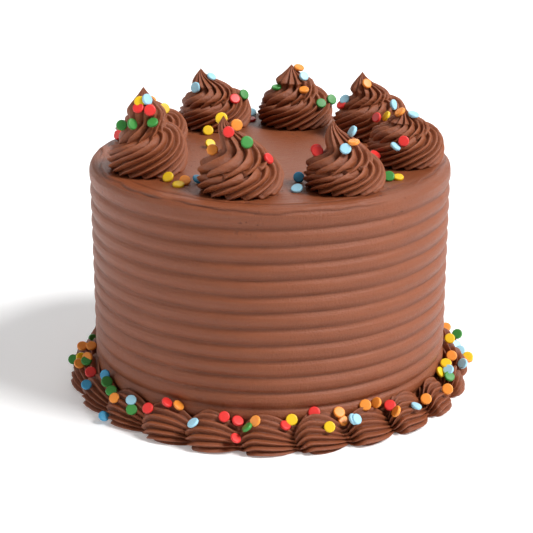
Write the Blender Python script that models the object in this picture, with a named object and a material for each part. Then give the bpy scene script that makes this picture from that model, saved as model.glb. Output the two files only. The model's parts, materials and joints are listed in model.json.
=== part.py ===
"""A round layer cake covered in chocolate buttercream.

The side is combed into rings, eight star piped swirls stand on top, a border of piped shells runs
round the foot, and flat round sprinkles lie on the swirls, on the border and on the top.
Metres, +Z up, origin at the centre of the underside. A direction round the cake is an azimuth in
degrees, counted from the front (-Y) towards the right (+X).
"""
import math
import random

import bmesh
import bpy
from mathutils import Matrix, Vector
from mathutils.bvhtree import BVHTree

# Cake
CAKE_RADIUS = 0.0975
CAKE_HEIGHT = 0.126
CAKE_SIDES = 32
FOOT_SPREAD = 0.0004
TOP_EDGE_ROUND = 0.005
EDGE_STEPS = 3
SIDE_WAVE = 0.0004

# Combed rings of the side, from the lowest that the border leaves in sight
COMB_PITCH = 0.0086
COMB_DEPTH = 0.0014
COMB_GROOVES = 12
FIRST_GROOVE = 0.0199
RIDGE_FLAT = 0.27

# Piped swirls: name, azimuth, distance from the middle, base radius, height, lean in X
SWIRLS = (
    ("rosette_1", -12.6, 0.0685, 0.0214, 0.0380, -0.0080),
    ("rosette_2", 31.0, 0.0720, 0.0203, 0.0345, -0.0060),
    ("rosette_3", 80.0, 0.0727, 0.0203, 0.0310, -0.0020),
    ("rosette_4", 128.5, 0.0730, 0.0210, 0.0360, -0.0050),
    ("rosette_5", 168.5, 0.0745, 0.0215, 0.0335, -0.0015),
    ("rosette_6", 205.6, 0.0745, 0.0210, 0.0325, -0.0050),
    ("rosette_7", 247.0, 0.0720, 0.0203, 0.0310, -0.0010),
    ("rosette_8", 294.5, 0.0701, 0.0208, 0.0430, -0.0010),
)
SWIRL_RIDGES = 14
SWIRL_RINGS = 9
SWIRL_GROOVE = 0.0018
SWIRL_TWIST = 165.0
ROPE_START = -115.0
LEAN_FROM = 0.45
PEAK_FROM = 0.66
PEAK_WIDTH = 0.375
PEAK_TAPER = 1.6

# The rope of icing that makes a swirl: turns from its start, and there the distance of its middle
# from the swirl's axis, its thickness (both as parts of the base radius) and its height (as a
# part of the swirl's height)
ROPE = (
    (0.00, 0.66, 0.29, 0.10),
    (0.30, 0.65, 0.33, 0.15),
    (0.57, 0.51, 0.46, 0.20),
    (0.80, 0.52, 0.47, 0.24),
    (1.00, 0.55, 0.43, 0.31),
    (1.30, 0.38, 0.42, 0.42),
    (1.57, 0.17, 0.43, 0.47),
    (1.80, 0.08, 0.41, 0.53),
    (2.00, 0.03, 0.37, 0.62),
)
# The rope settles on what it lies on: how full its lower half is
ROPE_SETTLE = 0.3

# Border of shells round the foot
SHELLS = 24
FIRST_SHELL = -6.0
SHELL_OUT = 0.0143
SHELL_UP = 0.0188
SHELL_RIDGES = 7
SHELL_GROOVE = 0.0015
SHELL_WALL = 0.0986
HEAD_BULGE = 0.26
# How a shell swells and tapers: place along its length, and its size there
SHELL_SWELL = ((0.0, 0.76), (0.16, 0.95), (0.42, 1.0), (0.72, 0.86), (1.0, 0.60))

# Sprinkles
SPRINKLE_RADIUS = 0.0029
SPRINKLE_THICK = 0.0017
SPRINKLE_SIDES = 6
SPRINKLE_SUNK = 0.0003
SPRINKLES_ON_SWIRL = 3
SPRINKLES_ON_TOP_FROM = 0.054
SPRINKLES_ON_TOP_TO = 0.070
# Places of the sprinkles on every other shell: share of its length, and degrees above the board
SPRINKLES_ON_SHELL = (((0.45, 48.0),), ((0.30, 60.0), (0.58, 34.0)))

GAP = 0.0003
SEED = 24

ICING_COLOUR = (0.235, 0.098, 0.055, 1.0)
ICING_ROUGHNESS = 0.55


def clear_scene():
    for item in list(bpy.data.objects):
        bpy.data.objects.remove(item, do_unlink=True)


def icing_material(name):
    """One plain buttercream material."""
    material = bpy.data.materials.new(name)
    material.use_nodes = True
    shader = material.node_tree.nodes["Principled BSDF"]
    shader.inputs["Base Color"].default_value = ICING_COLOUR
    shader.inputs["Roughness"].default_value = ICING_ROUGHNESS
    shader.inputs["Metallic"].default_value = 0.0
    return material


def around(azimuth, radius, height):
    """The point at an azimuth in degrees and a distance from the cake's axis."""
    angle = math.radians(azimuth)
    return Vector((radius * math.sin(angle), -radius * math.cos(angle), height))


def read_curve(points, place, column=1):
    """Read one column of a table of rows at a place, with straight lines between the rows."""
    for low, high in zip(points, points[1:]):
        if place <= high[0]:
            share = (place - low[0]) / (high[0] - low[0])
            return low[column] + (high[column] - low[column]) * share
    return points[-1][column]


def smooth_step(value):
    value = min(max(value, 0.0), 1.0)
    return value * value * (3.0 - 2.0 * value)


def add_object(name, points, faces):
    """Make a smooth shaded object with its own material out of points and faces."""
    mesh = bpy.data.meshes.new(name)
    mesh.from_pydata([tuple(point) for point in points], [], faces)
    mesh.validate()
    mesh.shade_smooth()
    item = bpy.data.objects.new(name, mesh)
    bpy.context.scene.collection.objects.link(item)
    item.data.materials.append(icing_material(name))
    return item


def turned_object(name, rings, low, high):
    """Join level rings, lowest first, and close both ends on a point.

    A quad is split from its lower right to its upper left corner, which is along the ridges of a
    swirl where its rings turn to the right on their way up.
    """
    size = len(rings[0])
    points = [point for ring in rings for point in ring] + [low, high]
    low_index, high_index = len(points) - 2, len(points) - 1
    last = (len(rings) - 1) * size
    faces = []
    for start in range(0, last, size):
        for step in range(size):
            here, beside = start + step, start + (step + 1) % size
            faces.append((here, beside, here + size))
            faces.append((beside, beside + size, here + size))
    for step in range(size):
        beside = (step + 1) % size
        faces.append((low_index, beside, step))
        faces.append((high_index, last + step, last + beside))
    return add_object(name, points, faces)


def side_radius(azimuth, height):
    """The cake's radius before it is combed: a slight spread at the foot and a slow wave."""
    spread = FOOT_SPREAD * (1.0 - height / CAKE_HEIGHT)
    angle = math.radians(azimuth)
    wave = math.sin(2 * angle + 18 * height) + 0.6 * math.sin(3 * angle - 31 * height + 1.3)
    return CAKE_RADIUS + spread + SIDE_WAVE * 0.6 * wave


def cake_profile():
    """Heights up the side, each with its depth below the uncombed side."""
    rows = [(0.0, 0.0), (FIRST_GROOVE - COMB_PITCH * RIDGE_FLAT, 0.0)]
    for number in range(COMB_GROOVES):
        groove = FIRST_GROOVE + COMB_PITCH * number
        rows.append((groove, COMB_DEPTH))
        rows.append((groove + COMB_PITCH * RIDGE_FLAT, 0.0))
        if number < COMB_GROOVES - 1:
            rows.append((groove + COMB_PITCH * (1.0 - RIDGE_FLAT), 0.0))
    for step in range(EDGE_STEPS + 1):
        angle = math.radians(90.0) * step / EDGE_STEPS
        height = CAKE_HEIGHT - TOP_EDGE_ROUND * (1.0 - math.sin(angle))
        rows.append((height, TOP_EDGE_ROUND * (1.0 - math.cos(angle))))
    return rows


def make_cake():
    """The iced cake, uncut, so it is solid."""
    rings = []
    for height, depth in cake_profile():
        ring = []
        for side in range(CAKE_SIDES):
            azimuth = 360.0 * side / CAKE_SIDES
            ring.append(around(azimuth, side_radius(azimuth, height) - depth, height))
        rings.append(ring)
    return turned_object("cake", rings, Vector((0, 0, 0)), Vector((0, 0, CAKE_HEIGHT)))


def swirl_radius(bearing, share, base_radius, height):
    """A swirl's radius, without its ridges, at a bearing and at a share of its height."""
    turn = ((bearing - ROPE_START) % 360.0) / 360.0
    widest = 0.0
    for place in (turn, turn + 1.0):
        middle, thick, level = (read_curve(ROPE, place, column) for column in (1, 2, 3))
        off = (share - level) * height / (thick * base_radius)
        if abs(off) < 1.0:
            full = 0.5 if off > 0.0 else ROPE_SETTLE
            widest = max(widest, base_radius * (middle + thick * (1.0 - off * off) ** full))
        elif place < 1.0 and off < 0.0:
            widest = max(widest, base_radius * middle)
    peak = PEAK_WIDTH * min((1.0 - share) / (1.0 - PEAK_FROM), 1.1) ** PEAK_TAPER
    return max(widest, peak * base_radius)


def make_swirl(name, azimuth, distance, base_radius, height, lean):
    """One star piped swirl: a coiled rope of icing with twisted ridges and a drawn out tip."""
    foot = around(azimuth, distance, CAKE_HEIGHT + GAP)
    columns = 2 * SWIRL_RIDGES
    rings = []
    for level in range(SWIRL_RINGS):
        share = 0.97 * (level / (SWIRL_RINGS - 1)) ** 0.9
        drift = lean * smooth_step((share - LEAN_FROM) / (1.0 - LEAN_FROM))
        ring = []
        for column in range(columns):
            bearing = 360.0 * column / columns + SWIRL_TWIST * share
            radius = swirl_radius(bearing, share, base_radius, height)
            if column % 2:
                radius -= SWIRL_GROOVE * min(radius / (0.5 * base_radius), 1.0)
            ring.append(foot + around(bearing, radius, share * height) + Vector((drift, 0, 0)))
        rings.append(ring)
    tip = foot + Vector((lean, 0, height))
    return turned_object(name, rings, foot, tip)


def shell_reach(lift, size):
    """How far a shell's ridges stand from the corner where wall and board meet."""
    angle = math.radians(lift)
    across = math.cos(angle) / (SHELL_OUT * size)
    upward = math.sin(angle) / (SHELL_UP * size)
    return 1.0 / math.hypot(across, upward)


def make_shell(number, start, end, bigness):
    """One piped shell of the border, its fat head at the start azimuth and its tail at the end."""
    steps = 2 * SHELL_RIDGES
    points = []
    for along, swell in SHELL_SWELL:
        azimuth = start + (end - start) * along
        points.append(around(azimuth, SHELL_WALL, 0.0))
        for step in range(steps + 1):
            lift = 90.0 * step / steps
            reach = shell_reach(lift, swell * bigness)
            if step % 2 == 0:
                reach -= SHELL_GROOVE * swell
            bulge = HEAD_BULGE * reach * math.sin(math.radians(2.0 * lift))
            turn = azimuth - math.degrees(bulge / SHELL_WALL)
            angle = math.radians(lift)
            radius = SHELL_WALL + reach * math.cos(angle)
            points.append(around(turn, radius, reach * math.sin(angle)))
    size = steps + 2
    faces = []
    for ring in range(len(SHELL_SWELL) - 1):
        for step in range(size):
            here, beside = ring * size + step, ring * size + (step + 1) % size
            faces.append((here, here + size, beside + size))
            faces.append((here, beside + size, beside))
    tail = (len(SHELL_SWELL) - 1) * size
    for step in range(1, size - 1):
        faces.append((0, step, step + 1))
        faces.append((tail, tail + step + 1, tail + step))
    return add_object(f"shell_{number:02d}", points, faces)


def sprinkle(spot, facing, turn):
    """A flat round sprinkle, lying at a spot and facing away from what it lies on."""
    shape = bmesh.new()
    bmesh.ops.create_cone(
        shape, cap_ends=True, segments=SPRINKLE_SIDES, radius1=SPRINKLE_RADIUS,
        radius2=SPRINKLE_RADIUS, depth=SPRINKLE_THICK)
    lie = facing.to_track_quat("Z", "Y").to_matrix().to_4x4() @ Matrix.Rotation(turn, 4, "Z")
    lift = facing * (SPRINKLE_THICK / 2 - SPRINKLE_SUNK)
    bmesh.ops.transform(shape, matrix=Matrix.Translation(spot + lift) @ lie, verts=shape.verts)
    mesh = bpy.data.meshes.new("sprinkle")
    shape.to_mesh(mesh)
    shape.free()
    return bpy.data.objects.new("sprinkle", mesh)


def keep_largest_body(mesh):
    """Drop loose scraps and sealed hollows that fusing may leave."""
    shape = bmesh.new()
    shape.from_mesh(mesh)
    left, bodies = set(shape.verts), []
    while left:
        body, edge = set(), [left.pop()]
        while edge:
            point = edge.pop()
            body.add(point)
            near = {link.other_vert(point) for link in point.link_edges} & left
            left -= near
            edge.extend(near)
        bodies.append(body)
    bodies.sort(key=len)
    scraps = [point for body in bodies[:-1] for point in body]
    bmesh.ops.delete(shape, geom=scraps, context="VERTS")
    shape.to_mesh(mesh)
    shape.free()


def fuse(item, pieces):
    """Join the pieces to the item with one Boolean union on a collection."""
    heap = bpy.data.collections.new("sprinkles")
    bpy.context.scene.collection.children.link(heap)
    for piece in pieces:
        heap.objects.link(piece)
    union = item.modifiers.new("sprinkles", "BOOLEAN")
    union.operation = "UNION"
    union.operand_type = "COLLECTION"
    union.collection = heap
    union.solver = "EXACT"
    seen = item.evaluated_get(bpy.context.evaluated_depsgraph_get())
    joined = bpy.data.meshes.new_from_object(seen)
    item.modifiers.clear()
    item.data = joined
    for piece in pieces:
        bpy.data.objects.remove(piece, do_unlink=True)
    bpy.data.collections.remove(heap)
    keep_largest_body(joined)
    joined.name = item.name


def surface_of(item):
    return BVHTree.FromPolygons(
        [point.co for point in item.data.vertices],
        [tuple(face.vertices) for face in item.data.polygons])


def sprinkle_swirl(item, azimuth, distance, height, draw):
    """Spread sprinkles round the upper half of a swirl."""
    surface = surface_of(item)
    axis = around(azimuth, distance, CAKE_HEIGHT + GAP)
    first = draw.uniform(0.0, 360.0)
    pieces = []
    for number in range(SPRINKLES_ON_SWIRL):
        bearing = first + 360.0 * number / SPRINKLES_ON_SWIRL + draw.uniform(-20.0, 20.0)
        level = height * (0.35 + 0.25 * number / SPRINKLES_ON_SWIRL)
        outside = axis + around(bearing, 0.04, level)
        inward = (axis + Vector((0, 0, level)) - outside).normalized()
        spot, normal, _, _ = surface.ray_cast(outside, inward)
        facing = (normal + 0.8 * (-inward) + Vector((0, 0, 0.5))).normalized()
        pieces.append(sprinkle(spot, facing, draw.uniform(0.0, 1.0)))
    fuse(item, pieces)


def sprinkle_shell(item, start, end, places, draw):
    """Lay sprinkles on the upper side of a shell, at places along it, clear of its neighbours."""
    surface = surface_of(item)
    pieces = []
    for along, lift in places:
        azimuth = start + (end - start) * (along + draw.uniform(-0.05, 0.05))
        angle = math.radians(lift + draw.uniform(-6.0, 6.0))
        corner = around(azimuth, SHELL_WALL, 0.0)
        outward = around(azimuth, math.cos(angle), math.sin(angle))
        spot, _, _, _ = surface.ray_cast(corner + outward * 0.05, -outward)
        pieces.append(sprinkle(spot, outward, draw.uniform(0.0, 1.0)))
    fuse(item, pieces)


def make_border(draw):
    """The ring of shells, each a little different, with a gap between neighbours."""
    spacing = 360.0 / SHELLS
    slit = math.degrees(GAP / SHELL_WALL) * 1.5
    starts = [FIRST_SHELL + spacing * number + draw.uniform(-0.7, 0.7) for number in range(SHELLS)]
    ends = [start - slit for start in starts[1:] + [starts[0] + 360.0]]
    for number, (start, end) in enumerate(zip(starts, ends)):
        shell = make_shell(number + 1, start, end, draw.uniform(0.95, 1.04))
        sprinkle_shell(shell, start, end, SPRINKLES_ON_SHELL[number % 2], draw)


def sprinkle_top(cake, draw):
    """Lay a sprinkle on the top in each space between two neighbouring swirls."""
    azimuths = [row[1] % 360.0 for row in SWIRLS]
    pieces = []
    for here, beside in zip(azimuths, azimuths[1:] + azimuths[:1]):
        middle = here + ((beside - here) % 360.0) / 2
        distance = draw.uniform(SPRINKLES_ON_TOP_FROM, SPRINKLES_ON_TOP_TO)
        tilt = Vector((draw.uniform(-0.1, 0.1), draw.uniform(-0.1, 0.1), 1.0)).normalized()
        spot = around(middle, distance, CAKE_HEIGHT)
        pieces.append(sprinkle(spot, tilt, draw.uniform(0.0, 1.0)))
    fuse(cake, pieces)


def main():
    clear_scene()
    draw = random.Random(SEED)
    cake = make_cake()
    sprinkle_top(cake, draw)
    for row in SWIRLS:
        item = make_swirl(*row)
        sprinkle_swirl(item, row[1], row[2], row[4], draw)
    make_border(draw)


main()
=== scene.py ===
"""A layer cake in milk chocolate buttercream, dressed over its packed frame.

The combed body, the piped swirls, the shell border and the sprinkles replace the plain solids.
Metres, +Z up. A direction round the cake is an azimuth, counted from the front (-Y) towards the
right (+X), in degrees where it is written down.
"""
import json
import random
from math import cos, degrees, hypot, pi, radians, sin, sqrt, tan, tau

import bmesh
import bpy
import numpy as np
from bpy.props import FloatProperty, FloatVectorProperty, IntProperty, PointerProperty
from mathutils import Matrix, Vector
from mathutils.bvhtree import BVHTree

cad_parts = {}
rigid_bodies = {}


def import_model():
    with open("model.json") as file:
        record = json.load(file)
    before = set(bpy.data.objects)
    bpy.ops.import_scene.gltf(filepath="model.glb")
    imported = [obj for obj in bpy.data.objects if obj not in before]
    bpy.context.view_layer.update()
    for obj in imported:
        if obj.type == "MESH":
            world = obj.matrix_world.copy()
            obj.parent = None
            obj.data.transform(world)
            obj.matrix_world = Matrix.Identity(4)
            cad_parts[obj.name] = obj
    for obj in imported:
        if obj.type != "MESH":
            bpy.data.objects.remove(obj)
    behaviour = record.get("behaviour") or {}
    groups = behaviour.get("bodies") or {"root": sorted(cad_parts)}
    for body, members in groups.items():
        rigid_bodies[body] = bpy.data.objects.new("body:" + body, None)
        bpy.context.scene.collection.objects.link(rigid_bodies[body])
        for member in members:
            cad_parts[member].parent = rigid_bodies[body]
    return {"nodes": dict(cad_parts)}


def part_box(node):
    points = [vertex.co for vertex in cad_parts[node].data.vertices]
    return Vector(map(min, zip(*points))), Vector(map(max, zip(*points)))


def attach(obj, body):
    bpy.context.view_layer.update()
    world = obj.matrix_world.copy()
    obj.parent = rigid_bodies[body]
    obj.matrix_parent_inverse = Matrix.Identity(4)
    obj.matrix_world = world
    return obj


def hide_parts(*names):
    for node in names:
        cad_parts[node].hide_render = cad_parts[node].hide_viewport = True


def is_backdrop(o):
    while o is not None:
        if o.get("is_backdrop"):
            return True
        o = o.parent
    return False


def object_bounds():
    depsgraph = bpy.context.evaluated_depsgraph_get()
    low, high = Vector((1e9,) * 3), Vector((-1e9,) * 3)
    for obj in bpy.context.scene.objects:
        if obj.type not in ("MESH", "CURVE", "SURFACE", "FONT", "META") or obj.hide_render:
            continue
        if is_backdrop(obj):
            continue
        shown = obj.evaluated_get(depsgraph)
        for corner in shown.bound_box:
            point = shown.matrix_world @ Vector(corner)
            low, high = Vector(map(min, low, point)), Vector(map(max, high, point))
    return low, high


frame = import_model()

bl_info = {
    "name": "Piped Layer Cake",
    "version": (1, 0, 0),
    "blender": (4, 5, 0),
    "location": "3D View > Sidebar > Cake",
    "description": "Makes a combed buttercream cake with swirls, a shell border and sprinkles",
    "category": "Add Mesh",
}

CAD_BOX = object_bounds()
BODY = "root"
CAKE_NODE = "cake"

# Piped swirls: node, azimuth, distance from the middle, base radius, height and lean in X; how tall
# the coils are beside the drawn ones and at which azimuth they start; how wide the upper coil is at
# its foot and its tip; how far the lower ridges wind; and the ridges below and above
SWIRLS = (
    ("rosette_1", -12.6, 0.0685, 0.0214, 0.0380, -0.0080, 1.00, -115, 1.00, 1.00, 1.15, 14, 11),
    ("rosette_2", 31.0, 0.0720, 0.0203, 0.0345, -0.0060, 1.00, -110, 0.96, 1.10, 1.30, 15, 12),
    ("rosette_3", 80.0, 0.0727, 0.0205, 0.0300, -0.0010, 1.18, -128, 0.92, 1.25, 1.60, 16, 14),
    ("rosette_4", 128.5, 0.0730, 0.0210, 0.0360, -0.0050, 1.20, -185, 0.90, 1.35, 1.60, 16, 14),
    ("rosette_5", 168.5, 0.0745, 0.0218, 0.0345, -0.0022, 1.12, -118, 0.90, 1.50, 1.50, 16, 13),
    ("rosette_6", 205.6, 0.0745, 0.0210, 0.0335, -0.0075, 1.14, -125, 0.92, 1.30, 1.50, 16, 14),
    ("rosette_7", 247.0, 0.0720, 0.0203, 0.0285, -0.0030, 1.00, -135, 0.76, 1.20, 1.40, 16, 13),
    ("rosette_8", 294.5, 0.0701, 0.0208, 0.0440, -0.0012, 1.34, -135, 0.74, 1.50, 1.75, 15, 12),
)

# Pieces of the swirls
PIPED = [row[0] + "_piped" for row in SWIRLS]

# Profiles of the two coils of a swirl, from under its foot to its top. Each row has the share of
# the way; the distance from the axis and the height, in mm for a swirl of DRAWN_RADIUS, on the
# side where the coil starts; the same where it has climbed; how far the ridges have wound by
# there, in degrees; and how deep the grooves between them are, in mm
DRAWN_RADIUS = 0.0214
DRAWN_HEIGHT = 0.0380
LOWER_COIL = (
    (0.00, 0.0, -0.4, 0.0, -0.4, -9, 0.0),
    (0.12, 18.2, -0.4, 18.2, -0.4, -7, 2.4),
    (0.22, 20.5, 1.2, 20.5, 1.2, 0, 3.1),
    (0.36, 21.5, 5.0, 21.8, 5.6, 16, 3.1),
    (0.50, 20.8, 8.6, 21.3, 10.2, 34, 3.1),
    (0.64, 17.5, 10.8, 19.4, 14.4, 48, 2.9),
    (0.78, 13.0, 11.2, 16.0, 17.8, 57, 2.5),
    (0.90, 8.0, 11.2, 11.5, 19.4, 62, 1.5),
    (1.00, 0.0, 11.2, 0.0, 20.0, 65, 0.0),
)
UPPER_COIL = (
    (0.00, 0.0, 10.0, 0.0, 16.0, -12, 0.0),
    (0.10, 16.5, 7.6, 11.0, 15.5, -10, 1.8),
    (0.20, 20.3, 9.0, 13.4, 16.8, -5, 3.0),
    (0.31, 21.5, 12.0, 13.4, 18.8, 4, 3.4),
    (0.42, 19.4, 15.2, 12.5, 20.6, 17, 3.3),
    (0.53, 14.9, 18.0, 11.4, 22.2, 30, 3.0),
    (0.61, 10.6, 19.9, 10.6, 23.6, 39, 2.9),
    (0.67, 9.4, 21.4, 9.7, 24.8, 43, 2.7),
    (0.75, 8.8, 24.0, 8.3, 26.6, 46, 2.5),
    (0.83, 7.2, 27.0, 6.5, 28.7, 48, 2.1),
    (0.90, 4.8, 30.4, 4.4, 31.0, 50, 1.4),
    (0.95, 2.6, 33.8, 2.5, 34.0, 51, 0.7),
    (1.00, 0.0, 38.0, 0.0, 38.0, 52, 0.0),
)
# How far a coil has climbed, by the share of a turn from its start
COIL_CLIMB = (
    (0.00, 0.00), (0.18, 0.12), (0.32, 0.35), (0.45, 0.62), (0.57, 0.85), (0.70, 1.00), (0.86, 1.00),
    (0.94, 0.50), (1.00, 0.00),
)
# Shares of a swirl's height between which its lean sets in
LEAN_FROM = 0.55
LEAN_TO = 0.92
# Where the groove lies between two crests, going round with the azimuth
GROOVE_AT = 0.79
# Steps of a coil's mesh across a ridge, and along the lower and the upper profile
RIDGE_STEPS = 16
LOWER_STEPS = 80
UPPER_STEPS = 110

# Name of the attribute of painted shade: how deep in a groove icing lies, painted darker, or below 0 how
# near a crest, painted lighter as a highlight
PAINTED_SHADE = "groove"

# Points of the body's mesh round the cake, up its side and from its rim to the middle
BODY_AROUND = 336
BODY_UP = 160
BODY_IN = 64
# How much closer those on the top lie near the rim, and how narrow the comb's grooves are
RIM_CROWDING = 2.2
COMB_SHARPNESS = 2.2

# How a shell of the border swells from its head to its tail
SHELL_SWELL = (
    (0.00, 0.00), (0.02, 0.42), (0.06, 0.68), (0.13, 0.87), (0.24, 0.98), (0.38, 1.00),
    (0.50, 0.96), (0.64, 0.85), (0.74, 0.71), (0.83, 0.56), (0.96, 0.42), (1.00, 0.00),
)

# Where the groove lies between two crests of a shell, going up
SHELL_GROOVE_AT = 0.70
# Sections along a shell, steps over its arc and along each of its flat sides, and how far its arc
# goes round, in degrees
SHELL_RINGS = 55
SHELL_ARC = 64
SHELL_FLAT = 3
SHELL_SWEEP = 94.0
# Shells of different shape, and how far one is turned at most from its even place, in degrees
SHELL_KINDS = 8
SHELL_JITTER = 0.7

# Colours of the sprinkles
RED, ORANGE, YELLOW, GREEN, SKY, BLUE = "red", "orange", "yellow", "green", "sky", "blue"
COLOURS = {
    RED: (0.76, 0.030, 0.025),
    ORANGE: (0.93, 0.30, 0.035),
    YELLOW: (0.87, 0.56, 0.010),
    GREEN: (0.045, 0.27, 0.045),
    SKY: (0.36, 0.66, 0.80),
    BLUE: (0.05, 0.32, 0.55),
}


# Sprinkles in sight on each swirl: colour, bearing round the swirl, height above the top in mm.
# Two more numbers say how openly a disc is seen, from 0 on edge to 1 in full, and to which side
# its face then leans, in degrees, with 0 to the right and 90 up.
SWIRL_SPRINKLES = {
    1: ((YELLOW, -150, 36, 0.97, 90), (ORANGE, 96, 33, 0.98, 0), (RED, 11, 31, 0.98, 90),
        (GREEN, 44, 26, 0.96, 60), (RED, 90, 16, 0.5, 35)),
    2: ((SKY, 100, 28, 0.4, 150), (ORANGE, 53, 24, 0.35, 95), (SKY, 5, 22, 0.92, 80)),
    3: ((ORANGE, -38, 27, 0.42, 125), (SKY, 90, 25, 0.38, 80), (RED, -8, 14, 0.98, 90),
        (SKY, -26, 11, 0.38, 55), (RED, -66, 5, 0.45, 60)),
    4: ((ORANGE, 16, 30, 0.75, 40), (RED, 11, 13, 0.75, 160), (YELLOW, 35, 13, 0.38, 150),
        (SKY, 88, 17, 0.45, 10)),
    5: ((ORANGE, 95, 32, 0.5, 75), (SKY, 95, 27, 0.8, 45), (ORANGE, 30, 21, 0.6, 95),
        (GREEN, 76, 12, 0.88, 60), (GREEN, -100, 20, 0.4, 95)),
    6: ((SKY, 100, 28, 0.55, 55), (RED, 73, 16, 0.85, 60), (SKY, -90, 22, 0.8, 165)),
    7: ((RED, -88, 4, 0.6, 150), (YELLOW, 83, 19, 0.92, 30), (ORANGE, 48, 24, 0.7, 60)),
    8: ((YELLOW, -22, 37, 0.9, 120), (RED, -26, 34, 0.85, 120), (SKY, 25, 38, 0.75, 20),
        (RED, 26, 33, 0.98, 90), (GREEN, -44, 26, 0.75, 20), (GREEN, 24, 27, 0.7, 110),
        (GREEN, -82, 24, 0.92, 120)),
}
# Sprinkles in sight that dropped from above on the top or on a swirl's shoulder: colour, azimuth,
# distance from the middle in mm, and how they are seen
DROPPED_SPRINKLES = (
    (YELLOW, -142, 57, 0.93, 90), (YELLOW, -46, 72, 0.78, 130), (YELLOW, -38, 75, 0.45, 90),
    (ORANGE, -38, 70, 0.82, 75), (BLUE, -35, 64, 0.5, 60), (BLUE, 16, 53, 0.95, 90),
    (SKY, 11, 70, 0.62, 110), (GREEN, 51, 78, 0.9, 90), (YELLOW, 54, 81, 0.5, 90),
    (SKY, -173, 89, 0.8, 90), (RED, -172, 78, 0.4, 90), (ORANGE, -23, 73, 0.93, 100),
    (YELLOW, -117, 37, 0.8, 60), (RED, 21, 66, 0.9, 90), (RED, 22, 62, 0.8, 100),
    (GREEN, -167, 67, 0.75, 30), (GREEN, 153, 79, 0.8, 30),
    (SKY, 136, 61.3, 0.7, 130), (RED, 136.5, 59.3, 0.55, 130),
)
# Sprinkles in sight on the border: colour, azimuth, degrees above the floor, and how they are seen
BORDER_SPRINKLES = (
    (GREEN, -98, 71), (ORANGE, -88, 66, 0.8, 90), (ORANGE, -85, 85, 0.8, 90), (GREEN, -84, 43),
    (YELLOW, -80, 63), (ORANGE, -77, 76), (ORANGE, -77, 57), (GREEN, -75, 72, 0.8, 100),
    (RED, -67, 68, 0.95, 90), (BLUE, -64, 47, 0.92, 90), (BLUE, -61, 84), (GREEN, -57, 75),
    (GREEN, -52, 66, 0.85, 110), (ORANGE, -49, 58, 0.85, 140), (BLUE, -51, 15, 0.8, 60),
    (SKY, -43, 67, 0.9, 90), (GREEN, -41, 52, 0.95, 90), (RED, -36, 64, 0.85, 140),
    (RED, -32, 86, 0.6, 50), (ORANGE, -28, 86, 0.55, 45), (SKY, -21, 57, 0.5, 125),
    (RED, -13, 77, 0.98, 90), (RED, -9, 70, 0.75, 60), (RED, -9, 39, 0.7, 50),
    (GREEN, -6, 59, 0.35, 130), (ORANGE, -4, 72, 0.8, 150), (RED, 4, 63, 0.65, 55),
    (YELLOW, 6, 74, 0.98, 90), (RED, 13, 89, 0.98, 90), (YELLOW, 16, 55, 0.98, 90),
    (ORANGE, 20, 80, 0.85, 60), (ORANGE, 20, 63, 0.8, 40), (SKY, 23, 62, 0.5, 30),
    (SKY, 24, 61, 0.7, 30), (ORANGE, 29, 85, 0.95, 90), (ORANGE, 33, 84, 0.8, 160),
    (RED, 36, 70, 0.9, 90), (ORANGE, 37, 56, 0.5, 155), (SKY, 44, 52, 0.35, 70),
    (ORANGE, 49, 56, 0.95, 90), (ORANGE, 60, 49, 0.98, 90), (GREEN, 65, 63, 0.8, 60),
    (SKY, 68, 71, 0.85, 120), (YELLOW, 64, 80, 0.5, 30), (YELLOW, 71, 81, 0.8, 90),
    (ORANGE, 78, 77, 0.95, 90), (YELLOW, 92, 78, 0.95, 90), (GREEN, 100, 50), (SKY, 97, 45),
    (SKY, 94, 39), (ORANGE, 90, 26, 0.7, 60), (YELLOW, 90, 29, 0.95, 90), (SKY, 79, 50, 0.8, 150),
    (ORANGE, 106, 58),
)
# Outline of a sprinkle from below to above: shares of its radius and of half its thickness
DISC_OUTLINE = ((0.78, -1.0), (0.9, -0.97), (1.0, -0.45), (1.0, 0.45), (0.9, 0.97), (0.78, 1.0))
DISC_SIDES = 12
# Where a sprinkle feels for what lies under it: shares of its radius, and spots round each
FEELERS = ((0.94, 12), (0.5, 6))
# How far off icing is looked for, how fully a disc rests on the highest ridge under it, and the
# bearing from which a sprinkle in sight lies behind its swirl's tip
REACH = 0.02
PROPPED = 0.92
FAR_SIDE = 120.0
# Seeded sprinkles tried behind each swirl, and where those of the border begin and end, in degrees
STREWN_ON_SWIRL = 4
BEHIND_FROM = 104.0
BEHIND_TO = 266.0

# How far the floor reaches from the cake
FLOOR_REACH = 6.0
# Distant lamps: name, azimuth, degrees above the floor, and width in degrees
LAMPS = (("key", 70.0, 48.0, 22.0), ("fill", -92.0, 20.0, 40.0), ("back", 172.0, 26.0, 50.0))


def step_through(table, places):
    """Read a table of places and values at many places, with a smooth curve through its rows."""
    where, values = np.array(table, float).T
    slopes = np.gradient(values, where)
    index = np.clip(np.searchsorted(where, places, side="right") - 1, 0, len(where) - 2)
    width = where[index + 1] - where[index]
    share = np.clip((places - where[index]) / width, 0.0, 1.0)
    near = 2 * share**3 - 3 * share**2 + 1
    rise = share**3 - 2 * share**2 + share
    far = 3 * share**2 - 2 * share**3
    fall = share**3 - share**2
    return (near * values[index] + rise * width * slopes[index]
            + far * values[index + 1] + fall * width * slopes[index + 1])


def around(azimuth, radius, height):
    """The point at an azimuth in degrees and a distance from the cake's axis."""
    angle = radians(azimuth)
    return Vector((radius * sin(angle), -radius * cos(angle), height))


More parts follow.
